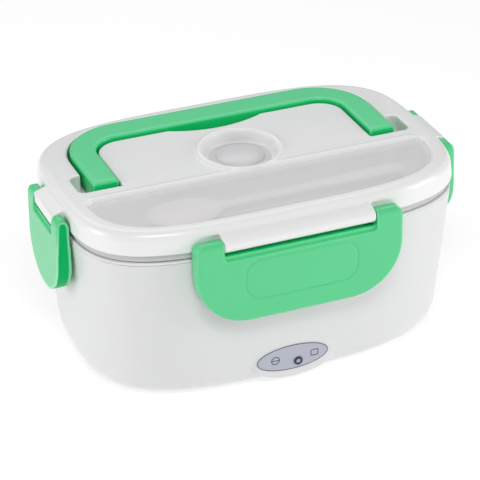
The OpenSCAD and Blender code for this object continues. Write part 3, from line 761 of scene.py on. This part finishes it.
def make_handle():
    """A flat band with a full, rounded upper edge."""
    high = HANDLE_UPPER_ROUND
    steps = [math.radians(10 * i) for i in range(10)]
    levels = ([(RECESS_FLOOR, 0, 0), (RECESS_FLOOR + 5, 0, 0.3)]
              + [(GRIP_TOP - high + high * math.sin(t), -high * (1 - math.cos(t)),
                  HANDLE_LEAN * (0.4 + 0.6 * math.sin(t))) for t in steps])
    front = -PIVOT_RADIUS - 1
    handle = stacked("handle_moulding", [[(x, y, z) for x, y in handle_outline(grow, front, lean)]
                                         for z, grow, lean in levels])
    bend, behind = HANDLE_END_ROUND, GRIP_BACK + 1.5
    profile = (arc(bend - PIVOT_RADIUS, GRIP_TOP - bend, bend, 90, 180, 8)
               + arc(0, PIVOT_Z, PIVOT_RADIUS, 180, 270, 16)
               + [(5, GRIP_BOTTOM - 1.6), (9, GRIP_BOTTOM), (behind, GRIP_BOTTOM),
                  (behind, GRIP_TOP)])
    keep_common(handle, bar_along_x("handle_side", profile, -HANDLE_HALF - 3, HANDLE_HALF + 3))
    return soften(handle, cell=0.45, rounds=10)


# ---------- base ----------

def rounding(z, top, height, width):
    """How far a rounded foot draws in at z."""
    if z >= top:
        return 0
    return width * (1 - math.sqrt(max(0, 1 - ((top - z) / height) ** 2)))


def housing_inset(z):
    return (RIM_INSET + SIDE_DRAFT * max(0, FLANGE_SEAT - z)
            + rounding(z, ROUND_TOP, ROUND_TOP - FOOT_HEIGHT, BOTTOM_ROUND))


def inner_inset(z, at_rim):
    return (at_rim + INNER_DRAFT * (CONTAINER_SEAT - z)
            + rounding(z, INNER_ROUND_TOP, INNER_ROUND_TOP - LINER_FLOOR, INNER_ROUND_WIDTH))


def curved_heights(low, top, first, step):
    """Heights up a quarter round, close together at its foot. first and step are in degrees."""
    return [low + (top - low) * (1 - math.cos(math.radians(a))) for a in range(first, 91, step)]


def on_boss(piece):
    """Stands a piece drawn flat on XY, facing +Z, on the boss's leaning face."""
    lean = Matrix.Rotation(math.radians(90 + BOSS_LEAN), 4, "X")
    piece.data.transform(Matrix.Translation(Vector((0, BOSS_FACE, BOSS_Z)) * MM) @ lean)
    return piece


def make_housing():
    """The outer shell, with the boss on its front and the rooms cut into it."""
    heights = (curved_heights(FOOT_HEIGHT, ROUND_TOP, 0, 6)
               + [20, 30, 40, 50, 60, 70, 80, HOUSING_TOP - 0.6])
    inside = [5.8, 8, 12, ROUND_TOP, HOUSING_TOP + 1]
    housing = body_layers("housing_moulding", [(z, housing_inset(z)) for z in heights]
                          + [(HOUSING_TOP, RIM_INSET + RIM_SOFT)])
    cut(housing, body_layers("inside", [(z, housing_inset(z) + HOUSING_WALL) for z in inside]))
    boss = on_boss(prism("boss", oval(BOSS_HALF_X, BOSS_HALF_Z, 2, 128), -8, 0))
    keep_common(boss, block("boss_room", BOSS_ROOM_LOW, BOSS_ROOM_HIGH))
    add(housing, boss)
    below = FOOT_HEIGHT - 1
    cut(housing,
        prism("cover_room", oval(*COVER_ROOM, BASE_SQUARENESS), below, COVER_ROOM_TOP),
        prism("cover_step", oval(*COVER_STEP, BASE_SQUARENESS), below, COVER_STEP_TOP),
        block("inlet_room", INLET_ROOM_LOW, INLET_ROOM_HIGH),
        on_boss(round_bar("lens_room", LENS_HOLE, -12, 8, (LENS_X, -LENS_DROP), 48)))
    return soften(housing, cell=0.6, rounds=8)


def make_liner():
    """The inner shell, whose rim rests on the housing."""
    heights = [LINER_FLOOR] + curved_heights(LINER_FLOOR, INNER_ROUND_TOP, 10, 8)
    inside = [(z, inner_inset(z, LINER_INSET)) for z in heights]
    outside = [(z - LINER_WALL, inset - LINER_WALL) for z, inset in inside]
    rim = [(HOUSING_TOP, RIM_INNER), (HOUSING_TOP, RIM_INSET + RIM_SOFT),
           (HOUSING_TOP + 0.3, RIM_INSET), (LINER_TOP - RIM_SOFT, RIM_INSET),
           (LINER_TOP, RIM_INSET + RIM_SOFT)]
    mouth = [(CONTAINER_SEAT, LINER_INSET), (CONTAINER_SEAT + 1, LINER_INSET)]
    liner = body_layers("liner_moulding", outside + rim)
    return cut(liner, body_layers("liner_inside", inside + mouth),
               prism("plate_room", oval(*PLATE_ROOM, PLATE_SQUARENESS), LINER_FLOOR - 4,
                     LINER_FLOOR + 4))


def make_container():
    """The food container, whose lip shows as the strip under the lid."""
    body = [(z, inner_inset(z - PLATE_RISE, CONTAINER_INSET))
            for z in curved_heights(CONTAINER_FLOOR, INNER_ROUND_TOP, 0, 8)]
    under_lip, lip_top = LID_SEAT - 1.6, LID_EDGE - 0.05
    lip = [(under_lip, CONTAINER_INSET), (under_lip, LIP_INNER), (LIP_BOTTOM, LIP_INNER),
           (LIP_BOTTOM, LIP_INSET + LIP_SOFT), (LIP_BOTTOM + LIP_SOFT, LIP_INSET),
           (lip_top - LIP_SOFT, LIP_INSET), (lip_top, LIP_INSET + LIP_SOFT),
           (lip_top, LIP_INNER - 0.1), (LID_SEAT, LIP_INNER)]
    container = body_layers("container_moulding", body + lip)
    wall = CONTAINER_WALL
    inside = [(z + wall, inset + wall) for z, inset in body]
    mouth = [(CONTAINER_SEAT, CONTAINER_INSET + wall), (LID_SEAT + 1, CONTAINER_INSET + wall)]
    return cut(container, body_layers("container_inside", inside + mouth))


# ---------- control panel ----------

def ring(name, half_x, half_y, width, low, high, square=2):
    """A flat ring, lying on XY."""
    band = prism(name, oval(half_x, half_y, square, 96), low, high)
    return cut(band, prism("ring_hole", oval(half_x - width, half_y - width, square, 96),
                           low - 1, high + 1))


def inked_ring(name, half_x, half_y, width, x, y, square=2):
    """A ring of the label's ink, as thick as the print."""
    return shifted(ring(name, half_x, half_y, width, INK_BOTTOM, INK_TOP, square), x, y)


def make_panel():
    """The oval film with its darker border, lens bezel and two plain marks."""
    film = prism("label_film", oval(LABEL_HALF_X, LABEL_HALF_Z, 2, 128), 0.0, FILM_THICK)
    cut(film, round_bar("film_hole", LENS_HOLE, -2, 2,
                        (LENS_X - LABEL_X, -LENS_DROP - LABEL_RISE), 48))
    show(on_boss(shifted(film, LABEL_X, LABEL_RISE)), "base", "label_film", "control_label")
    inked = [inked_ring("label_border", LABEL_HALF_X, LABEL_HALF_Z, BORDER_WIDTH,
                        LABEL_X, LABEL_RISE),
             shifted(ring("lens_bezel", BEZEL_RADIUS, BEZEL_RADIUS, BEZEL_WIDTH, INK_BOTTOM,
                          BEZEL_TOP), LENS_X, -LENS_DROP),
             inked_ring("ring_mark", RING_MARK_RADIUS, RING_MARK_RADIUS, RING_MARK_WIDTH,
                        RING_MARK_X, RING_MARK_RISE),
             block("ring_mark_bar", BAR_LOW, BAR_HIGH),
             inked_ring("box_mark", BOX_MARK_HALF_X, BOX_MARK_HALF_Z, BOX_MARK_WIDTH,
                        BOX_MARK_X, BOX_MARK_RISE, BOX_MARK_SQUARENESS)]
    for piece in inked:
        show(on_boss(piece), "base", "label_ink")


# ---------- vent, spoon and cover ----------

def make_vent_plug():
    """A soft plug: a stem, a thin flange and a low dome on it."""
    dome = [(DOME_RADIUS * math.cos(math.radians(a)),
             VENT_FLOOR + DOME_FOOT + DOME_RISE * math.sin(math.radians(a)))
            for a in range(0, 86, 5)]
    flange = [(PLUG_RADIUS - 0.4, VENT_FLOOR), (PLUG_RADIUS, VENT_FLOOR + 0.4),
              (PLUG_RADIUS - 0.1, VENT_FLOOR + 0.9), (PLUG_RADIUS - 0.6, VENT_FLOOR + 1.2),
              (DOME_RADIUS + 0.5, VENT_FLOOR + DOME_FOOT - 0.1)]
    stem = [(NEAR_AXIS, PLUG_BOTTOM), (PLUG_STEM, PLUG_BOTTOM), (PLUG_STEM, VENT_FLOOR)]
    middle = [(NEAR_AXIS, VENT_FLOOR + DOME_FOOT + DOME_RISE)]
    plug = turned("vent_plug_moulding", stem + flange + dome + middle, (0, VENT_Y, 0), 128)
    plug.data.shade_smooth()
    return plug


def make_spoon():
    """A bowl hollowed from above, and a stem that rises and widens towards its end."""
    bowl = ellipsoid("spoon_moulding", (BOWL_X, BOWL_Y, BOWL_RIM), BOWL_RADII)
    hollow = ellipsoid("bowl_hollow", (BOWL_X, BOWL_Y, BOWL_RIM + BOWL_HOLLOW_RISE),
                       BOWL_HOLLOW_RADII)
    cut(bowl, hollow, block("above_bowl", (BOWL_X - 30, BOWL_Y - 30, BOWL_RIM),
                            (BOWL_X + 30, BOWL_Y + 30, BOWL_RIM + 10)))
    outline = (arc(STEM_START, BOWL_Y, STEM_START_HALF, 90, 270)
               + arc(STEM_END, BOWL_Y, STEM_END_HALF, -90, 90))
    span = STEM_END - STEM_START
    low = [(x, y, STEM_BOTTOM + STEM_BOTTOM_RISE * (x - STEM_START) / span) for x, y in outline]
    high = [(x, y, STEM_TOP + STEM_TOP_RISE * (x - STEM_START) / span) for x, y in outline]
    add(bowl, stacked("stem", [low, high]))
    return soften(bowl, cell=0.4, rounds=6)


# (height, inset) pairs that round the cover's edge
COVER_LEVELS = [(COVER_SEAT + 0.01, 1.2), (107.4, 0.95), (108.3, 0.9), (108.52, 1.05),
                (108.61, 1.35)]


def make_cover():
    """The clear cover over the spoon trough."""
    return layered("cover_moulding", trough_outline, COVER_LEVELS)


# ---------- camera ----------

CAMERA_PLACE = Vector((-408.7, -1037.6, 663.8)) * MM
CAMERA_AZIMUTH = math.radians(-21.50)
CAMERA_ELEVATION = math.radians(28.93)
CAMERA_ROLL = math.radians(-1.182)
CAMERA_LENS = 164.78
CAMERA_SENSOR = 36
CAMERA_SHIFT = (-0.01161, 0.0210)


def make_camera():
    """A long lens from the front left, looking down, with a slight roll."""
    a, e, r = CAMERA_AZIMUTH, CAMERA_ELEVATION, CAMERA_ROLL
    back = Vector((math.sin(a) * math.cos(e), -math.cos(a) * math.cos(e), math.sin(e)))
    right = Vector((math.cos(a), math.sin(a), 0))
    up = back.cross(right)
    side = math.cos(r) * right + math.sin(r) * up
    top = -math.sin(r) * right + math.cos(r) * up
    data = bpy.data.cameras.new("studio_camera")
    data.lens = CAMERA_LENS
    data.sensor_width = CAMERA_SENSOR
    data.shift_x, data.shift_y = CAMERA_SHIFT
    camera = bpy.data.objects.new("studio_camera", data)
    bpy.context.scene.collection.objects.link(camera)
    turn = Matrix((side, top, back)).transposed().to_4x4()
    camera.matrix_world = Matrix.Translation(CAMERA_PLACE) @ turn
    bpy.context.scene.camera = camera


# ---------- studio ----------

SKY_STRENGTH = 0.28
PAPER_GREY = 0.62
PAPER_GLOW = 0.5


def soft_light(name, place, aim, size, power):
    """A soft area light. place and aim are in metres, power in watts."""
    data = bpy.data.lights.new(name, "AREA")
    data.shape = "RECTANGLE"
    data.size, data.size_y = size
    data.energy = power
    light = bpy.data.objects.new(name, data)
    bpy.context.scene.collection.objects.link(light)
    light.location = place
    light.rotation_mode = "QUATERNION"
    light.rotation_quaternion = (Vector(aim) - Vector(place)).to_track_quat("-Z", "Y")


def make_studio():
    """A pale floor, a white surround and four soft lights."""
    world = bpy.data.worlds.new("white_surround")
    world.use_nodes = True
    sky = world.node_tree.nodes["Background"]
    sky.inputs["Color"].default_value = (1, 1, 1, 1)
    sky.inputs["Strength"].default_value = SKY_STRENGTH
    bpy.context.scene.world = world
    bpy.context.scene.view_settings.view_transform = "Standard"
    middle = (0, 0, 0.06)
    soft_light("left_light", (-1.1, 0.1, 0.45), middle, (0.5, 0.5), 3.8)
    soft_light("right_light", (1.0, -0.6, 0.4), middle, (0.5, 0.5), 4.8)
    soft_light("front_light", (-0.25, -0.75, 1.05), middle, (0.5, 0.3), 5.2)
    soft_light("back_light", (0.1, 0.8, 0.9), middle, (1.0, 0.5), 3.2)
    bpy.ops.mesh.primitive_plane_add(size=6)
    floor = bpy.context.object
    floor.name = "studio_floor"
    paper = bpy.data.materials.new("pale_paper")
    paper.use_nodes = True
    shader = paper.node_tree.nodes["Principled BSDF"]
    shader.inputs["Base Color"].default_value = (PAPER_GREY, PAPER_GREY, PAPER_GREY, 1)
    shader.inputs["Roughness"].default_value = 0.9
    shader.inputs["Emission Color"].default_value = (1, 1, 1, 1)
    shader.inputs["Emission Strength"].default_value = PAPER_GLOW
    floor.data.materials.append(paper)


# ---------- effects that several materials use ----------

# The uneven gloss and tint: clouds to the metre, and how finely they are broken up
CLOUD_SCALE = 22
CLOUD_DETAIL = 3

# Reach in millimetres of the painted shade in nooks and of the painted highlight on thin edges,
# and the openness over which each fades
PAINTED_SHADE_REACH = 7
PAINTED_SHADE_FADE = (0.58, 0.95)
PAINTED_HIGHLIGHT_REACH = 1.2
PAINTED_HIGHLIGHT_FADE = (0.5, 0.97)

# How far a face points up, from where its painted side shade is deepest to where it is plain
PAINTED_SIDE_SHADE_FADE = (0.2, 0.6)
OPENNESS_SAMPLES = 8


def new_group(name, inputs, outputs):
    """A node group with its named sockets, and its input and output nodes."""
    group = bpy.data.node_groups.new(name, "ShaderNodeTree")
    for label, kind, value in inputs:
        socket = group.interface.new_socket(label, in_out="INPUT", socket_type=kind)
        socket.default_value = value
    for label, kind in outputs:
        group.interface.new_socket(label, in_out="OUTPUT", socket_type=kind)
    return group, group.nodes.new("NodeGroupInput"), group.nodes.new("NodeGroupOutput")


def calculated(group, operation, first, second):
    """A calculation's result in a node group. Each operand is a number or a socket."""
    node = group.nodes.new("ShaderNodeMath")
    node.operation = operation
    for socket, operand in zip(node.inputs, (first, second)):
        if isinstance(operand, (int, float)):
            socket.default_value = operand
        else:
            group.links.new(operand, socket)
    return node.outputs[0]


def moulded_skin():
    """The faint orange peel and the uneven gloss of injection moulded plastic."""
    group, source, result = new_group(
        "moulded_skin",
        [("Colour", "NodeSocketColor", (0.8, 0.8, 0.8, 1)),
         ("Tint", "NodeSocketFloat", 0.03),
         ("Gloss", "NodeSocketFloat", 0.3),
         ("Gloss spread", "NodeSocketFloat", 0.08),
         ("Grain size", "NodeSocketFloat", 900.0)],
        [("Colour", "NodeSocketColor"), ("Roughness", "NodeSocketFloat"),
         ("Height", "NodeSocketFloat")])
    new, join = group.nodes.new, group.links.new
    place = new("ShaderNodeTexCoord")
    clouds, grain = new("ShaderNodeTexNoise"), new("ShaderNodeTexNoise")
    clouds.inputs["Scale"].default_value = CLOUD_SCALE
    clouds.inputs["Detail"].default_value = CLOUD_DETAIL
    join(place.outputs["Object"], clouds.inputs["Vector"])
    join(place.outputs["Object"], grain.inputs["Vector"])
    join(source.outputs["Grain size"], grain.inputs["Scale"])
    centred = calculated(group, "SUBTRACT", clouds.outputs["Fac"], 0.5)
    tint = calculated(group, "MULTIPLY", centred, source.outputs["Tint"])
    brightness = calculated(group, "ADD", tint, 1)
    uneven = calculated(group, "MULTIPLY", centred, source.outputs["Gloss spread"])
    gloss = calculated(group, "ADD", source.outputs["Gloss"], uneven)
    shade = new("ShaderNodeVectorMath")
    shade.operation = "SCALE"
    join(source.outputs["Colour"], shade.inputs[0])
    join(brightness, shade.inputs["Scale"])
    join(shade.outputs[0], result.inputs["Colour"])
    join(gloss, result.inputs["Roughness"])
    join(grain.outputs["Fac"], result.inputs["Height"])
    return group


SKIN = moulded_skin()


def painted_shade_and_highlight():
    """Painted shade and painted highlight on coloured plastic: darker in slots and gaps and, if
    asked, on sides that don't face up; lighter on thin edges.
    """
    group, source, result = new_group(
        "painted_shade_and_highlight",
        [("Colour", "NodeSocketColor", (0.1, 0.6, 0.3, 1)),
         ("Painted shade colour", "NodeSocketColor", (0.0, 0.5, 0.2, 1)),
         ("Painted highlight colour", "NodeSocketColor", (0.3, 0.8, 0.5, 1)),
         ("Painted side shade", "NodeSocketFloat", 0.0)],
        [("Colour", "NodeSocketColor")])
    new, join = group.nodes.new, group.links.new

    def faded(value, low, high):
        node = new("ShaderNodeMapRange")
        node.inputs["From Min"].default_value = low
        node.inputs["From Max"].default_value = high
        join(value, node.inputs["Value"])
        return node.outputs["Result"]

    def openness(reach, inside, fade):
        around = new("ShaderNodeAmbientOcclusion")
        around.samples = OPENNESS_SAMPLES
        around.inside = inside
        around.inputs["Distance"].default_value = reach * MM
        return faded(around.outputs["AO"], *fade)

    def blended(amount, first, second):
        node = new("ShaderNodeMix")
        node.data_type = "RGBA"
        join(amount, node.inputs[0])
        join(first, node.inputs[6])
        join(second, node.inputs[7])
        return node.outputs[2]

    place, split = new("ShaderNodeTexCoord"), new("ShaderNodeSeparateXYZ")
    join(place.outputs["Normal"], split.inputs[0])
    # Painted shade on faces that don't point up, as far as the side shade input asks
    upward = faded(split.outputs["Z"], *PAINTED_SIDE_SHADE_FADE)
    level = calculated(group, "SUBTRACT", 1, source.outputs["Painted side shade"])
    plain = calculated(group, "MAXIMUM", upward, level)
    # Painted shade in slots and gaps, where ambient occlusion finds other surfaces close
    plain = calculated(group, "MINIMUM", plain, openness(PAINTED_SHADE_REACH, False, PAINTED_SHADE_FADE))
    body = blended(plain, source.outputs["Painted shade colour"], source.outputs["Colour"])
    # Painted highlight on thin convex edges
    thick = openness(PAINTED_HIGHLIGHT_REACH, True, PAINTED_HIGHLIGHT_FADE)
    join(blended(thick, source.outputs["Painted highlight colour"], body), result.inputs["Colour"])
    return group


PAINTED_LIGHT_GROUP = painted_shade_and_highlight()
RIPPLE_HEIGHT = 0.2 * MM


def finish_of(name, colour, gloss, tint=0.03, bump=0.03, grain=900.0, spread=0.08,
              painted_shade_colour=None, painted_highlight_colour=None, painted_side_shade=0.0, **fixed):
    """A material on the moulded skin. Fixed values go straight onto the shader's sockets.

    Given colours for them, painted shade darkens it in nooks and, if asked, on sides that don't
    face up, and a painted highlight lightens its thin edges.
    """
    material = bpy.data.materials.new(name)
    material.use_nodes = True
    tree = material.node_tree
    shader = tree.nodes["Principled BSDF"]
    skin = tree.nodes.new("ShaderNodeGroup")
    skin.node_tree = SKIN
    for label, value in (("Colour", (*colour, 1)), ("Tint", tint), ("Gloss", gloss),
                         ("Gloss spread", spread), ("Grain size", grain)):
        skin.inputs[label].default_value = value
    ripple = tree.nodes.new("ShaderNodeBump")
    ripple.inputs["Strength"].default_value = bump
    ripple.inputs["Distance"].default_value = RIPPLE_HEIGHT
    tree.links.new(skin.outputs["Height"], ripple.inputs["Height"])
    shade = skin.outputs["Colour"]
    # Painted shade and painted highlight, from the shape around each point
    if painted_shade_colour:
        painted_light = tree.nodes.new("ShaderNodeGroup")
        painted_light.node_tree = PAINTED_LIGHT_GROUP
        painted_light.inputs["Painted shade colour"].default_value = (*painted_shade_colour, 1)
        painted_light.inputs["Painted highlight colour"].default_value = (*painted_highlight_colour, 1)
        painted_light.inputs["Painted side shade"].default_value = painted_side_shade
        tree.links.new(shade, painted_light.inputs["Colour"])
        shade = painted_light.outputs["Colour"]
    tree.links.new(shade, shader.inputs["Base Color"])
    tree.links.new(skin.outputs["Roughness"], shader.inputs["Roughness"])
    tree.links.new(ripple.outputs["Normal"], shader.inputs["Normal"])
    for label, value in fixed.items():
        shader.inputs[label.replace("_", " ")].default_value = value
    return material


def make_finishes():
    """A material for each of the record's slots, and the shades that share a slot."""
    return {
        "white_shell": finish_of("white_polypropylene", (0.875, 0.875, 0.875), 0.24,
                                 Subsurface_Weight=0.08, Subsurface_Scale=0.004),
        "white_housing": finish_of("white_housing_plastic", (0.76, 0.76, 0.765), 0.32,
                                   Subsurface_Weight=0.08, Subsurface_Scale=0.004),
        "white_liner": finish_of("white_liner_plastic", (0.80, 0.80, 0.81), 0.36),
        # Painted shade in the mint's nooks and a painted highlight on its thin edges
        "mint_plastic": finish_of("mint_polypropylene", (0.10, 0.64, 0.275), 0.25, 0.05,
                                  painted_shade_colour=(0.0, 0.60, 0.165), spread=0.05,
                                  painted_highlight_colour=(0.26, 0.80, 0.46),
                                  Subsurface_Weight=0.06, Subsurface_Scale=0.003),
        # A darker copy of the mint, laid where the left latch's channel is in shade: painted shade
        "mint_shade": finish_of("mint_in_shade", (0.0, 0.47, 0.125), 0.34, 0.05,
                                Specular_IOR_Level=0.08),
        # Painted shade in the handle's nooks and on its sides, and a painted highlight on its thin
        # edges
        "mint_handle": finish_of("mint_handle", (0.12, 0.72, 0.32), 0.25, 0.05,
                                 painted_shade_colour=(0.0, 0.56, 0.15), painted_side_shade=1.0, spread=0.05,
                                 painted_highlight_colour=(0.26, 0.82, 0.48),
                                 Specular_IOR_Level=0.35, Subsurface_Weight=0.06,
                                 Subsurface_Scale=0.003),
        "frosted_plastic": finish_of("frosted_container", (0.74, 0.74, 0.75), 0.42,
                                     Transmission_Weight=0.2, IOR=1.49),
        "clear_cover": finish_of("clear_cover_plastic", (0.95, 0.95, 0.95), 0.14, 0.01,
                                 Alpha=0.40, IOR=1.45),
        "clear_lens": finish_of("indicator_lens_plastic", (0.52, 0.53, 0.60), 0.12,
                                Transmission_Weight=0.25, IOR=1.5),
        "silicone": finish_of("clear_silicone", (0.70, 0.70, 0.71), 0.33,
                              Subsurface_Weight=0.2, Subsurface_Scale=0.004),
        "spoon_plastic": finish_of("spoon_plastic", (0.98, 0.93, 0.93), 0.32),
        "label_film": finish_of("label_film", (0.47, 0.48, 0.57), 0.38, 0.02),
        "label_ink": finish_of("label_ink", (0.02, 0.022, 0.045), 0.45, 0.02),
        "foot_rubber": finish_of("foot_rubber", (0.30, 0.30, 0.31), 0.75, bump=0.2,
                                 grain=2500.0),
        "plated_steel": finish_of("zinc_plate", (0.62, 0.62, 0.63), 0.32, Metallic=1.0),
        "heater_aluminium": finish_of("pressed_aluminium", (0.78, 0.78, 0.79), 0.34,
                                      Metallic=1.0),
        "heater_block": finish_of("amber_film", (0.62, 0.36, 0.12), 0.30),
        "brass": finish_of("brass", (0.78, 0.60, 0.28), 0.26, Metallic=1.0),
        "phenolic": finish_of("phenolic", (0.74, 0.69, 0.56), 0.50),
        "circuit_board": finish_of("circuit_board", (0.06, 0.22, 0.08), 0.40),
        "amber_led": finish_of("amber_led", (0.85, 0.38, 0.06), 0.15),
        "black_plastic": finish_of("black_nylon", (0.02, 0.02, 0.022), 0.42, bump=0.12),
        "lead_insulation": finish_of("lead_sleeve", (0.45, 0.08, 0.06), 0.48),
    }


def dress_nodes():
    """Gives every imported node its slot's finish."""
    for part in frame["record"]["subparts"]:
        node = NODES[part["node"]]
        node.data.materials.clear()
        node.data.materials.append(FINISHES[part["material_slot"]])


make_camera()
make_studio()
FINISHES = make_finishes()
dress_nodes()

show(make_housing(), "base", "white_housing", "base_housing")
show(make_liner(), "base", "white_liner", "base_liner")
show(make_container(), "container", "frosted_plastic", "food_container")
make_panel()
show(make_lid(), "lid", "white_shell", "lid_shell")
show(make_seal(), "lid", "silicone", "lid_seal")
show(make_vent_plug(), "vent", "silicone", "steam_vent_plug")
show(make_spoon(), "spoon", "spoon_plastic", "spoon")
show(make_cover(), "spoon_cover", "clear_cover", "spoon_cover")
show(make_handle(), "handle", "mint_handle", "carry_handle")
for side, (turn, axis, half, tab) in zip(("front", "back", "right", "left"), four_sides()):
    latch = make_latch(side + "_latch_moulding", turn, axis, half, tab)
    show(latch, side + "_latch", "mint_plastic", side + "_latch")
    # The left latch's channel gets a darker sheet: painted shade
    if side == "left":
        shade_sheet = make_painted_shade_sheet("left_latch_painted_shade", turn, axis, half, tab)
        show(shade_sheet, side + "_latch", "mint_shade")
